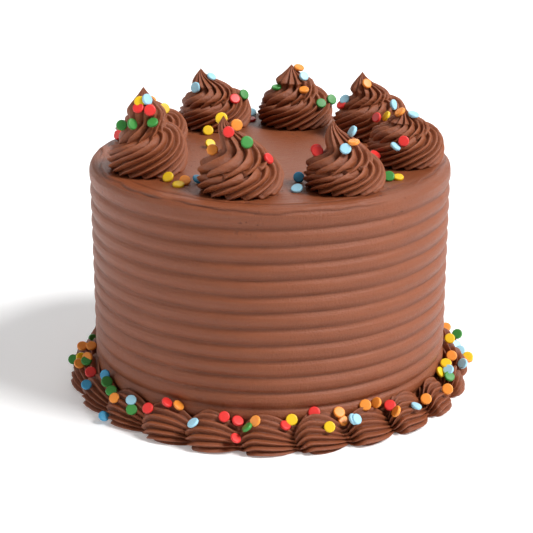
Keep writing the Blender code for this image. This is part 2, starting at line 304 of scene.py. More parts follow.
def skin(rings):
    """Points and faces of a closed tube through equal rings of points, with its ends closed."""
    count, size = len(rings), len(rings[0])
    points = [tuple(point) for ring in rings for point in ring]
    faces = []
    for ring in range(count - 1):
        for step in range(size):
            beside = (step + 1) % size
            low, high = ring * size, (ring + 1) * size
            faces.append((low + step, low + beside, high + beside, high + step))
    faces.append(tuple(range(size - 1, -1, -1)))
    faces.append(tuple(range((count - 1) * size, count * size)))
    return points, faces


def plain_mesh(name, points, faces=()):
    mesh = bpy.data.meshes.new(name)
    mesh.from_pydata(points, [], faces)
    return mesh


def start_object(name, data=None):
    """An object in the scene, with an empty mesh where it is given nothing else."""
    item = bpy.data.objects.new(name, data or bpy.data.meshes.new(name))
    bpy.context.scene.collection.objects.link(item)
    return item


def add_piece(name, mesh, material, nodes):
    """Put a mesh into the scene as a smooth shaded piece that stands for some nodes."""
    mesh.materials.clear()
    mesh.materials.append(material)
    mesh.polygons.foreach_set("material_index", [0] * len(mesh.polygons))
    mesh.shade_smooth()
    item = start_object(name, mesh)
    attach(item, BODY)
    if nodes:
        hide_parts(*nodes)


def settle(item):
    """The mesh that an object's modifiers give, without the object."""
    seen = item.evaluated_get(bpy.context.evaluated_depsgraph_get())
    mesh = bpy.data.meshes.new_from_object(seen)
    bpy.data.objects.remove(item, do_unlink=True)
    return mesh


def turn_outward(mesh):
    """Make every face of closed bodies look outward."""
    shape = bmesh.new()
    shape.from_mesh(mesh)
    bmesh.ops.recalc_face_normals(shape, faces=shape.faces)
    shape.to_mesh(mesh)
    shape.free()


def arithmetic(operation):
    """The method of a field for one sign of arithmetic."""
    return lambda self, other: self.math(operation, other)


class Field:
    """One value in a node tree, so that a rule of its shape reads as plain arithmetic."""

    def __init__(self, tree, socket):
        self.tree = tree
        self.socket = socket

    def join(self, kind, inputs, output=0, **settings):
        node = self.tree.nodes.new(kind)
        for name, value in settings.items():
            setattr(node, name, value)
        for place, value in inputs.items():
            if isinstance(value, Field):
                self.tree.links.new(value.socket, node.inputs[place])
            elif value is not None:
                node.inputs[place].default_value = value
        return Field(self.tree, node.outputs[output])

    def math(self, operation, *others):
        inputs = dict(enumerate((self, *others)))
        return self.join("ShaderNodeMath", inputs, operation=operation)

    __add__ = __radd__ = arithmetic("ADD")
    __sub__ = arithmetic("SUBTRACT")
    __mul__ = __rmul__ = arithmetic("MULTIPLY")
    __truediv__ = arithmetic("DIVIDE")
    __pow__ = arithmetic("POWER")

    def __rsub__(self, other):
        return (self * -1.0) + other

    def clamp(self, low, high):
        return self.math("MAXIMUM", low).math("MINIMUM", high)

    def ramp(self, low, high):
        """0 at low, 1 at high, and smooth between."""
        inputs = {0: self, 1: low, 2: high, 3: 0.0, 4: 1.0}
        return self.join("ShaderNodeMapRange", inputs, interpolation_type="SMOOTHSTEP")

    def vector(self, across, along, up):
        return self.join("ShaderNodeCombineXYZ", {0: across, 1: along, 2: up})

    def parts(self):
        node = self.tree.nodes.new("ShaderNodeSeparateXYZ")
        self.tree.links.new(self.socket, node.inputs[0])
        return [Field(self.tree, output) for output in node.outputs]

    def float_curve(self, rows):
        """A smooth curve through rows of a place and a value, both from 0 to 1."""
        node = self.tree.nodes.new("ShaderNodeFloatCurve")
        points = node.mapping.curves[0].points
        points[0].location = rows[0]
        points[1].location = rows[-1]
        for row in rows[1:-1]:
            points.new(*row)
        node.mapping.use_clip = False
        node.mapping.update()
        self.tree.links.new(self.socket, node.inputs["Value"])
        return Field(self.tree, node.outputs[0])

    def combine(self, operation, *others):
        """Vector arithmetic."""
        inputs = dict(enumerate((self, *others)))
        return self.join("ShaderNodeVectorMath", inputs, operation=operation)

    def noise(self, scale, detail=2.0, roughness=0.5):
        """Smooth noise round 0 at a place, running from about -1 to 1."""
        inputs = {"Vector": self, "Scale": scale, "Detail": detail, "Roughness": roughness}
        return self.join("ShaderNodeTexNoise", inputs) * 2.0 - 1.0

    def reshape(self, shade, position):
        """Store the painted shade of each point of a mesh, darker deep in a groove and lighter on a crest,
        and then move the points.
        """
        marked = self.join("GeometryNodeStoreNamedAttribute", {
            "Geometry": self, "Name": PAINTED_SHADE, "Value": shade}, data_type="FLOAT", domain="POINT")
        return self.join("GeometryNodeSetPosition", {"Geometry": marked, "Position": position})


def new_tree(name, floats=(), others=()):
    """A geometry node tree with named inputs, and those inputs as fields."""
    tree = bpy.data.node_groups.new(name, "GeometryNodeTree")
    sockets = [("Geometry", "NodeSocketGeometry")]
    sockets += [(label, "NodeSocketFloat") for label in floats]
    for label, kind in (*sockets, *others):
        tree.interface.new_socket(label, in_out="INPUT", socket_type=kind)
    tree.interface.new_socket("Geometry", in_out="OUTPUT", socket_type="NodeSocketGeometry")
    start = tree.nodes.new("NodeGroupInput")
    fields = {output.name: Field(tree, output) for output in start.outputs if output.name}
    return tree, fields


def finish_tree(tree, geometry, material):
    """End a tree in Realize Instances, Set Material and its output, and give it back."""
    real = geometry.join("GeometryNodeRealizeInstances", {0: geometry})
    dressed = real.join("GeometryNodeSetMaterial", {"Geometry": real, "Material": material})
    end = tree.nodes.new("NodeGroupOutput")
    tree.links.new(dressed.socket, end.inputs[0])
    return tree


def add_nodes(item, tree, values):
    """Put a tree on an object as a modifier, with its inputs set."""
    change = item.modifiers.new(tree.name, "NODES")
    change.node_group = tree
    for socket in tree.interface.items_tree:
        if socket.in_out == "INPUT" and socket.name in values:
            change[socket.identifier] = values[socket.name]


def grow(name, tree, values, mesh=None):
    """Run a tree on an object and give back the plain mesh."""
    item = start_object(name, mesh)
    add_nodes(item, tree, values)
    grown = settle(item)
    grown.name = name
    return grown


def set_inputs(node, values):
    """Set inputs of a node by their names or places."""
    for name, value in values.items():
        node.inputs[name].default_value = value


def start_material(name):
    """A new material, its shader and the place in the cake that its patterns follow."""
    material = bpy.data.materials.new(name)
    material.use_nodes = True
    tree = material.node_tree
    place = Field(tree, tree.nodes.new("ShaderNodeTexCoord").outputs["Object"])
    return material, tree.nodes["Principled BSDF"], place


def finish_material(shader, tones, rough, relief, depth, glow):
    """Link a tone between two colours, a roughness and a relief to a shader, and let light in."""
    links = rough.tree.links
    tone, dark, light = tones
    mix = rough.tree.nodes.new("ShaderNodeMix")
    mix.data_type = "RGBA"
    set_inputs(mix, {6: (*dark, 1.0), 7: (*light, 1.0)})
    links.new(tone.socket, mix.inputs["Factor"])
    links.new(mix.outputs[2], shader.inputs["Base Color"])
    links.new(rough.socket, shader.inputs["Roughness"])
    bump = rough.tree.nodes.new("ShaderNodeBump")
    set_inputs(bump, dict(zip(("Strength", "Distance"), depth)))
    links.new(relief.socket, bump.inputs["Height"])
    links.new(bump.outputs["Normal"], shader.inputs["Normal"])
    set_inputs(shader, dict(zip(("Subsurface Weight", "Subsurface Radius", "Subsurface Scale"), glow)))


def icing_material(name, colour, streaks, grain, pitted=0.0):
    """Milk chocolate buttercream: fine grain, soft streaks along the strokes, faint patches, and painted
    shade and highlight from the stored attribute.
    """
    material, shader, place = start_material(name)
    x, y, z = place.parts()
    radius = (x * x + y * y).math("SQRT")
    stroke = place.vector(x * 14.0, y * 14.0, (z - radius) * streaks).noise(1.0, 4.0, 0.6)
    patch = place.noise(38.0, 3.0, 0.55)
    cloud = place.noise(120.0, 3.0, 0.6)
    fine = place.noise(grain, 3.0, 0.65)
    crumb = place.noise(grain * 3.2, 2.0, 0.6)
    shade = place.join("ShaderNodeAttribute", {}, output="Fac", attribute_name=PAINTED_SHADE)
    tone = stroke * 0.14 + patch * 0.12 + cloud * 0.10 + fine * 0.12 + crumb * 0.08 + 0.56
    # Small pits in patches near the rim: dents in the relief, with painted shade darkening each pit
    pit = place.noise(520.0, 0.0).ramp(0.42, 0.56) * place.noise(34.0).ramp(0.0, 0.2)
    pit = pit * z.ramp(0.108, 0.117) * pitted
    # Painted shade: darker in grooves and creases, lighter as a painted highlight where the attribute is
    # below 0 on crests
    tone = (tone - shade * 0.45 - pit * 0.6).clamp(-0.2, 1.3)
    dark = [part * share for part, share in zip(colour, (0.62, 0.57, 0.52))]
    light = [part * share for part, share in zip(colour, (1.30, 1.34, 1.38))]
    rough = (patch * 0.06 + fine * 0.05 + 0.46).clamp(0.3, 0.8)
    relief = stroke * 0.4 + cloud * 0.25 + fine * 0.35 + crumb * 0.2 - pit * 0.8
    glow = 0.12, (0.6, 0.25, 0.12), 0.003
    finish_material(shader, (tone, dark, light), rough, relief, (0.7, 0.0007), glow)
    set_inputs(shader, {"Specular IOR Level": 0.45})
    return material


def sugar_material(name, colour):
    """Pressed sugar: a matt coloured body with a faint grain."""
    material, shader, place = start_material(name)
    patch = place.noise(420.0)
    fine = place.noise(2400.0, 2.0, 0.6)
    tone = (patch * 0.3 + fine * 0.25 + 0.5).clamp(0.0, 1.0)
    dark = [part * 0.86 for part in colour]
    light = [min(part * 1.12, 1.0) for part in colour]
    glow = 0.15, (1.0, 0.8, 0.6), 0.001
    finish_material(shader, (tone, dark, light), fine * 0.08 + 0.42, fine, (0.25, 0.0001), glow)
    return material


def a_length(name, description, default):
    """A size in metres that a user can change."""
    return FloatProperty(name=name, description=description, default=default, unit="LENGTH")


def an_amount(name, description, default):
    """A share, a strength or an angle in degrees."""
    return FloatProperty(name=name, description=description, default=default)


def a_count(name, description, default):
    return IntProperty(name=name, description=description, default=default)


def a_colour(name, description, default):
    return FloatVectorProperty(name=name, description=description, default=default, subtype="COLOR")


class CakeBodySizes(bpy.types.PropertyGroup):
    """Sizes of the combed body."""
    radius: a_length("Radius", "Radius of the iced cake", 0.0975)
    height: a_length("Height", "Height without the swirls", 0.126)
    edge: a_length("Edge Round", "Rounding of the top edge", 0.005)
    pitch: a_length("Comb Pitch", "Height of one combed ring", 0.0086)
    depth: a_length("Comb Depth", "Depth of the grooves", 0.0017)
    first: a_length("First Groove", "Height of the lowest groove", 0.0113)
    grooves: a_count("Grooves", "Number of combed grooves", 13)


class SwirlSizes(bpy.types.PropertyGroup):
    """Sizes of the piped swirls."""
    groove: an_amount("Groove", "Depth between the ridges, as a part of the drawn depth", 1.15)
    sunk: a_length("Sunk", "How deep a swirl is pressed in", 0.0004)
    crumb: a_length("Crumb", "Height of the icing's roughness", 0.00012)


class ShellSizes(bpy.types.PropertyGroup):
    """Sizes of the border of shells."""
    count: a_count("Shells", "Shells round the foot", 24)
    start: an_amount("First Shell", "Azimuth of a shell's head, in degrees", -6.0)
    wall: a_length("Wall", "Radius of the shells' inner side", 0.0986)
    out: a_length("Out", "How far a shell stands out", 0.0143)
    up: a_length("Up", "How high a shell stands", 0.0180)
    ridges: an_amount("Ridges", "Ridges over a shell", 6.3)
    groove: a_length("Groove", "Depth between its ridges", 0.0030)
    finger: a_length("Finger", "How far the ridges stand out at a shell's head", 0.0030)


class SprinkleSizes(bpy.types.PropertyGroup):
    """Sizes of the flat round sprinkles."""
    radius: a_length("Radius", "Radius of a sprinkle", 0.0030)
    thick: a_length("Thickness", "Thickness of a sprinkle", 0.0017)
    sunk: a_length("Sunk", "How deep a sprinkle is pressed in", 0.0004)


class Finishes(bpy.types.PropertyGroup):
    """Colours of the icing."""
    side: a_colour("Side", "Colour of the combed icing and the border", (0.232, 0.0615, 0.0205))
    piping: a_colour("Piping", "Colour of the swirls", (0.254, 0.0690, 0.0230))


class StageSizes(bpy.types.PropertyGroup):
    """Camera and light."""
    distance: a_length("Camera Distance", "From the cake's axis", 0.782)
    eye: a_length("Camera Height", "Above the underside", 0.338)
    aside: a_length("Camera Aside", "To the left of the axis", 0.0018)
    pitch: an_amount("Camera Pitch", "Below the horizon, in degrees", 19.43)
    lens: an_amount("Lens", "Focal length in mm on a 36 mm frame", 100.8)
    ambient: an_amount("Ambient", "Strength of the light all round", 0.28)
    key: an_amount("Key", "Strength of the key light", 3.95)
    fill: an_amount("Fill", "Strength of the light from the left", 0.6)
    back: an_amount("Back", "Strength of the light from behind", 0.8)


def body_tree(material):
    """Node tree of the body: a fine cylinder, rounded at its top edge, combed and smeared."""
    tree, value = new_tree("combed body", (
        "Radius", "Height", "Edge Round", "Comb Pitch", "Comb Depth", "First Groove", "Grooves"))
    radius, height, edge = value["Radius"], value["Height"], value["Edge Round"]
    inputs = {"Vertices": BODY_AROUND, "Side Segments": BODY_UP, "Fill Segments": BODY_IN,
              "Radius": radius, "Depth": height}
    raw = radius.join("GeometryNodeMeshCylinder", inputs, fill_type="TRIANGLE_FAN")
    place = radius.join("GeometryNodeInputPosition", {})
    x, y, z = place.parts()
    flat = (x * x + y * y).math("SQRT")
    up = z + height * 0.5
    share = flat / radius
    drawn = radius * (1.0 - (1.0 - share).clamp(0.0, 1.0) ** RIM_CROWDING)
    turn = x.math("ARCTAN2", y * -1.0)
    sine, cosine = turn.math("SINE"), turn.math("COSINE")

    def wrapped(scale, along):
        """A place on a ring as wide as the cake, times a scale, with a height of its own."""
        return place.vector(sine * radius * scale, cosine * radius * scale, along)

    ring, rim = wrapped(1.0, up), wrapped(1.0, 0.05)
    # The corner between side and top is drawn onto a quarter circle.
    inner_r, inner_z = radius - edge, height - edge
    over_r, over_z = (drawn - inner_r).clamp(0.0, 1.0), (up - inner_z).clamp(0.0, 1.0)
    square = over_r.math("MAXIMUM", over_z)
    length = (over_r * over_r + over_z * over_z).math("SQRT").math("MAXIMUM", 1e-6)
    scale = square / length
    r_round = drawn.math("MINIMUM", inner_r) + over_r * scale
    z_round = up.math("MINIMUM", inner_z) + over_z * scale
    # Combed grooves, a little wavy, between convex ridges
    wobble = ring.noise(9.0) * 0.0007 + ring.noise(34.0) * 0.00025
    lane = (up + wobble - value["First Groove"]) / value["Comb Pitch"]
    number = lane.math("ROUND").clamp(0.0, value["Grooves"] - 1.0)
    off = (lane - number).math("ABSOLUTE").math("MINIMUM", 0.5)
    hollow = (off * 2.0 - 1.0).math("ABSOLUTE")
    uneven = ring.noise(22.0) * 0.45 + 1.0
    on_side = share.ramp(0.985, 1.0) * up.ramp(0.0, 0.004)
    below_rim = 1.0 - (up / height).ramp(0.955, 0.985)
    comb = (hollow ** COMB_SHARPNESS) * uneven * value["Comb Depth"] * on_side * below_rim
    # Slow swells, strokes along the ring and smears near the rim
    slow = ring.noise(7.0, 1.0) * 0.0006
    stroke = wrapped(12.0, (z_round - r_round) * 620.0).noise(1.0, 3.0, 0.6) * 0.00022
    out = (slow + stroke) * on_side - comb
    on_top = (up / height).ramp(0.97, 0.999)
    outward, upward = over_r / length, over_z / length
    # How far past the rim a place lies, over the top and down the side
    past_rim = drawn - radius + (height - up)
    # Two torn sheets of icing lie over the rim: where each ends, how far that sways, in how many
    # pieces, and how thick it is
    sheet, crease_shade = 0.0, 0.0
    for at, sway, pieces, thick in ((-0.0030, 0.014, 8.0, 0.0008), (-0.0085, 0.018, 5.5, 0.0006)):
        edge_at = rim.noise(pieces, 4.0, 0.62) * sway + at
        strength = rim.noise(pieces * 2.3 + 3.0).ramp(-0.30, 0.05)
        past = past_rim - edge_at
        sheet = sheet + strength * (past.ramp(-0.010, -0.0005) - past.ramp(-0.0003, 0.0004)) * thick
        # A line of painted shade runs along the crease where each sheet ends
        crease_shade = crease_shade + strength * past.ramp(-0.0002, 0.0003) * past.ramp(0.0016, 0.0006)
    near_rim = past_rim.ramp(-0.014, -0.005) * past_rim.ramp(0.011, 0.004)
    folds = wrapped(22.0, past_rim * 330.0)
    fold = folds.noise(1.0, 3.0, 0.6).ramp(-0.05, 0.5) * rim.noise(17.0).ramp(-0.15, 0.25)
    sheet = sheet + near_rim * fold * 0.0006
    flow = on_top * (ring.noise(13.0) * 0.0005 + stroke * 0.9)
    flow = flow * (drawn / radius).ramp(1.0, 0.96)
    new_r = r_round + out + sheet * outward
    moved = place.vector(sine * new_r, cosine * new_r * -1.0, z_round + flow + sheet * upward)
    # Painted shade: a groove is painted darkest on the side that turns away from the light, just above it,
    # with a painted highlight on the top of each band and painted shade along the sheets' creases.
    above = (lane - number).ramp(-0.04, 0.04)
    groove_shade = (hollow ** (7.0 - above * 5.4)) * uneven
    lit = (1.0 - above) * ((hollow ** 1.5) - (hollow ** 8.0))
    shade = (groove_shade * 0.95 - lit * 0.7) * (on_side * below_rim) + crease_shade * 1.3
    return finish_tree(tree, raw.reshape(shade, moved), material)


class CAKE_OT_body(bpy.types.Operator):
    """Make the combed body of the cake"""
    bl_idname = "cake.body"
    bl_label = "Combed Body"

    def execute(self, context):
        sizes = context.scene.cake_body
        colour = context.scene.cake_finish.side
        material = icing_material("combed_icing", colour, streaks=520.0, grain=900.0, pitted=1.0)
        mesh = grow("cake_body", body_tree(material), {
            "Radius": sizes.radius, "Height": sizes.height, "Edge Round": sizes.edge,
            "Comb Pitch": sizes.pitch, "Comb Depth": sizes.depth, "First Groove": sizes.first,
            "Grooves": float(sizes.grooves)})
        add_piece("cake_body", mesh, material, [CAKE_NODE])
        return {"FINISHED"}


def swirl_tree(material):
    """Node tree of a swirl: two ridged coils, the upper one drawn up into a tip."""
    tree, value = new_tree("piped swirl", (
        "Base Radius", "Height", "Lean", "Coil Height", "Start", "Phase", "Upper Width", "Tip Width",
        "Twist", "Lower Ridges", "Upper Ridges", "Groove", "Sunk"), (("Foot", "NodeSocketVector"),))
    lower = coil(value, LOWER_COIL, value["Lower Ridges"], LOWER_STEPS, value["Twist"])
    wide = value["Upper Width"], value["Tip Width"]
    upper = coil(value, UPPER_COIL, value["Upper Ridges"], UPPER_STEPS, 1.0, *wide)
    both = tree.nodes.new("GeometryNodeJoinGeometry")
    for part in (lower, upper):
        tree.links.new(part.socket, both.inputs[0])
    return finish_tree(tree, Field(tree, both.outputs[0]), material)


def coil(value, rows, ridges, steps, twist, wide=1.0, wide_tip=1.0):
    """A closed ridged coil. The columns of its grid run along the ridges, so that crests stay sharp."""
    base, phase = value["Base Radius"], value["Phase"]
    columns = ridges * RIDGE_STEPS + 1.0
    grid = base.join("GeometryNodeMeshGrid", {
        "Size X": 1.0, "Size Y": 1.0, "Vertices X": columns, "Vertices Y": steps + 1})
    flat_x, flat_y, _ = base.join("GeometryNodeInputPosition", {}).parts()
    turn_share, share = flat_x + 0.5, flat_y + 0.5

    def column(place, number, most=40.0):
        return place.float_curve([(row[0], row[number] / most) for row in rows]) * most

    wound = column(share, 5, 90.0) * twist / 360.0
    climb = (turn_share + wound).math("FRACT").float_curve(COIL_CLIMB)
    scale = base / DRAWN_RADIUS / 1000.0
    tall = scale * value["Coil Height"]
    taller = value["Height"] - tall * (DRAWN_HEIGHT * 1000.0)

    def outline(place):
        """Distance from the axis and height, at a place on the profile."""
        out = column(place, 1) + (column(place, 3) - column(place, 1)) * climb
        up = column(place, 2) + (column(place, 4) - column(place, 2)) * climb
        to_tip = up.ramp(18.0, 31.0)
        widened = to_tip * (wide_tip - wide) + wide
        return out * widened * scale, up * tall + taller * up.ramp(14.0, 38.0)

    out, up = outline(share)
    out_ahead, up_ahead = outline(share + 0.01)
    out_behind, up_behind = outline(share - 0.01)
    run, rise = out_ahead - out_behind, up_ahead - up_behind
    length = (run * run + rise * rise).math("SQRT").math("MAXIMUM", 1e-6)

    turn = value["Start"] + (turn_share + wound) * tau
    sine, cosine = turn.math("SINE"), turn.math("COSINE")
    ring = base.vector(sine, cosine, phase)
    uneven = ring.noise(1.6)
    spot = (turn_share * ridges).math("FRACT")
    valley = ((spot / GROOVE_AT) ** 1.5).math("MINIMUM", ((1.0 - spot) / (1.0 - GROOVE_AT)) ** 0.8)
    depth = column(share, 6, 4.0)
    groove = valley * depth * scale * value["Groove"] * (uneven * 0.25 + 1.0)
    # Painted shade deep in the grooves, and a painted highlight on the crests
    shade = ((valley ** 2.0) - (1.0 - valley) ** 5.0 * 0.35) * depth / 3.0
    swell = ring.noise(1.1, 1.0) * 0.05 + 1.0
    new_out = (out * swell - groove * rise / length).math("MAXIMUM", 0.0)
    new_up = (up + groove * run / length).math("MAXIMUM", value["Sunk"] * -1.0)
    lean = value["Lean"] * (new_up / value["Height"]).ramp(LEAN_FROM, LEAN_TO)
    sheared = turn + uneven * 0.10
    spot_place = base.vector(sheared.math("SINE") * new_out + lean,
                             sheared.math("COSINE") * new_out * -1.0, new_up)
    moved = grid.reshape(shade, spot_place.combine("ADD", value["Foot"]))
    return grid.join("GeometryNodeMergeByDistance", {"Geometry": moved, "Distance": 1e-6})


def crumb_tree(material):
    """Node tree that gives piped icing its slight roughness."""
    tree, value = new_tree("crumb", ("Crumb",))
    place = value["Crumb"].join("GeometryNodeInputPosition", {})
    normal = value["Crumb"].join("GeometryNodeInputNormal", {})
    rough = place.noise(260.0, 3.0, 0.6) + place.noise(900.0, 2.0, 0.6) * 0.6
    moved = place.join("GeometryNodeSetPosition", {
        "Geometry": value["Geometry"], "Offset": normal.combine("MULTIPLY", rough * value["Crumb"])})
    return finish_tree(tree, moved, material)


def top_height():
    """Height of the top that the swirls stand on."""
    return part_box(SWIRLS[0][0])[0][2]


class CAKE_OT_swirls(bpy.types.Operator):
    """Pipe the swirls: ridged coils drawn up into a leaning tip"""
    bl_idname = "cake.swirls"
    bl_label = "Piped Swirls"

    def execute(self, context):
        sizes = context.scene.cake_swirls
        colour = context.scene.cake_finish.piping
        material = icing_material("piped_icing", colour, streaks=300.0, grain=1100.0)
        coils, rough_tree = swirl_tree(material), crumb_tree(material)
        draw = random.Random(8)
        for row in SWIRLS:
            node, azimuth, distance, base, height, lean = row[:6]
            tall, start, wide, tip, twist, low, high = row[6:]
            swirl = start_object("swirl")
            add_nodes(swirl, coils, {
                "Foot": around(azimuth, distance, top_height()), "Base Radius": base,
                "Height": height, "Lean": lean, "Phase": draw.uniform(0.0, 20.0),
                "Start": radians(start), "Coil Height": tall, "Upper Width": wide,
                "Tip Width": tip, "Twist": twist, "Lower Ridges": float(low),
                "Upper Ridges": float(high), "Groove": sizes.groove, "Sunk": sizes.sunk})
            add_nodes(swirl, rough_tree, {"Crumb": sizes.crumb})
            mesh = settle(swirl)
            turn_outward(mesh)
            add_piece(node + "_piped", mesh, material, [node])
        return {"FINISHED"}


def shell_rings(sizes, draw):
    """Rings of one shell, with its head at azimuth 0, from its head to its tail, and their painted shade.
    """
    spacing = 360.0 / sizes.count
    big = draw.uniform(0.95, 1.04)
    lead, trail = draw.uniform(1.8, 2.8), draw.uniform(0.6, 1.4)
    out, up = sizes.out * big, sizes.up * draw.uniform(0.95, 1.04)
    ridges = sizes.ridges + draw.uniform(-0.5, 0.5)
    offset = draw.uniform(0.0, 1.0)
    bulge = draw.uniform(0.2, 0.34)
    slant = draw.uniform(-4.0, 8.0)
    curl = draw.uniform(6.0, 28.0)
    swirl = draw.uniform(0.0, tau)
    # Sections lie closer together at the head and at the tail
    even = np.linspace(0.0, 1.0, SHELL_RINGS)
    shares = 0.55 * (1.0 - np.cos(pi * even)) / 2.0 + 0.45 * even
    swells = np.maximum(step_through(SHELL_SWELL, shares), 0.015)
    rings, shades = [], []
    for share, swell in zip(shares, swells):
        azimuth = -lead + (spacing + lead + trail) * share
        ring = []
        for step in range(SHELL_ARC + 1):
            lift = SHELL_SWEEP * step / SHELL_ARC
            angle = radians(lift)
            reach = 1.0 / hypot(cos(angle) / (out * swell), sin(angle) / (up * swell))
            bend = slant * share + curl * max(1.0 - share / 0.35, 0.0) ** 2
            place = (lift + bend + 3.0 * sin(3.0 * share + swirl)) / 90.0 * ridges + offset
            spot = place % 1.0
            valley = min(spot / SHELL_GROOVE_AT, (1.0 - spot) / (1.0 - SHELL_GROOVE_AT)) ** 1.1
            reach -= sizes.groove * min(swell * 1.3, 1.0) * valley
            # The foot is tucked in a little, and the middle is pushed on towards the head
            reach *= 1.0 - 0.14 * max(1.0 - lift / 14.0, 0.0) ** 2
            push = bulge * reach * sin(radians(2.0 * min(lift, 90.0)))
            finger = sizes.finger * valley * max(1.0 - share / 0.3, 0.0)
            turn = azimuth + degrees((finger - push) / sizes.wall)
            radius = sizes.wall + reach * cos(angle)
            ring.append(around(turn, radius, max(reach * sin(angle), 0.0)))
            # Painted shade deep in the grooves, and a painted highlight on the crests
            shades.append(valley**2 - 0.35 * (1.0 - valley) ** 5)
        # The flat back and underside are painted in shade
        shades += [0.6] * (2 * SHELL_FLAT + 1)
        first, last = ring[0], ring[-1]
        corner = around(azimuth, sizes.wall - 0.0003, 0.0)
        whole = SHELL_FLAT + 1
        ring += [last.lerp(corner, step / whole) for step in range(1, whole)]
        ring += [corner.lerp(first, step / whole) for step in range(whole)]
        rings.append(ring)
    return rings, shades


def border_tree(material):
    """Node tree of the border: shells set round the foot, picked and turned by seed."""
    tree, value = new_tree("shell border", ("Shells", "Start", "Jitter"),
                           (("Kinds", "NodeSocketCollection"), ("Seed", "NodeSocketInt")))
    count = value["Shells"]
    line = count.join("GeometryNodeMeshLine", {"Count": count, "Offset": (0.0, 0.0, 0.0)})
    kinds = count.join("GeometryNodeCollectionInfo", {
        "Collection": value["Kinds"], "Separate Children": True, "Reset Children": True})
    index = count.join("GeometryNodeInputIndex", {})
    shake = count.join("FunctionNodeRandomValue", {
        2: value["Jitter"] * -1.0, 3: value["Jitter"], "ID": index, "Seed": value["Seed"]}, output=1)
    turn = value["Start"] + index * tau / count + shake
    set_round = line.join("GeometryNodeInstanceOnPoints", {
        "Points": line, "Instance": kinds, "Pick Instance": True, "Instance Index": index,
        "Rotation": count.vector(0.0, 0.0, turn)})
    return finish_tree(tree, set_round, material)


class CAKE_OT_border(bpy.types.Operator):
    """Pipe the border of shells round the foot"""
    bl_idname = "cake.border"
    bl_label = "Shell Border"

    def execute(self, context):
        sizes = context.scene.cake_shells
        colour = context.scene.cake_finish.side
        material = icing_material("border_icing", colour, streaks=260.0, grain=1100.0)
        draw = random.Random(11)
        kinds = bpy.data.collections.new("shell kinds")
        context.scene.collection.children.link(kinds)
        for number in range(SHELL_KINDS):
            rings, shades = shell_rings(sizes, draw)
            mesh = plain_mesh("kind", *skin(rings))
            mesh.attributes.new(PAINTED_SHADE, "FLOAT", "POINT").data.foreach_set("value", shades)
            kinds.objects.link(bpy.data.objects.new(f"kind_{number}", mesh))
        mesh = grow("border", border_tree(material), {
            "Shells": float(sizes.count), "Start": radians(sizes.start),
            "Jitter": radians(SHELL_JITTER), "Kinds": kinds, "Seed": 5})
        for kind in list(kinds.objects):
            bpy.data.objects.remove(kind, do_unlink=True)
        bpy.data.collections.remove(kinds)
        turn_outward(mesh)
        shells = [node for node in frame["nodes"] if node.startswith("shell_")]
        add_piece("shell_border", mesh, material, shells)
        return {"FINISHED"}


def sprinkle_disc(sizes):
    """One flat round sprinkle with softened edges, lying level at the origin."""
    rings = []
    for share, level in DISC_OUTLINE:
        turns = [360.0 * side / DISC_SIDES for side in range(DISC_SIDES)]
        rings.append([around(turn, sizes.radius * share, sizes.thick / 2 * level) for turn in turns])
    mesh = plain_mesh("sprinkle", *skin(rings))
    mesh.shade_smooth()
    return start_object("sprinkle", mesh)


def sprinkle_tree(material):
    """Node tree of the sprinkles of one colour: a disc on every point, facing as the point says."""
    tree, value = new_tree("sprinkles", (), (("Disc", "NodeSocketObject"),))
    points = value["Geometry"]
    disc = points.join("GeometryNodeObjectInfo", {"Object": value["Disc"]}, output=4)
    facing, size = [
        points.join("GeometryNodeInputNamedAttribute", {"Name": name}, data_type="FLOAT_VECTOR")
        for name in ("facing", "size")]
    turned = points.join("FunctionNodeAlignRotationToVector", {"Vector": facing}, axis="Z")
    laid = points.join("GeometryNodeInstanceOnPoints", {
        "Points": points, "Instance": disc, "Rotation": turned, "Scale": size})
    return finish_tree(tree, laid, material)


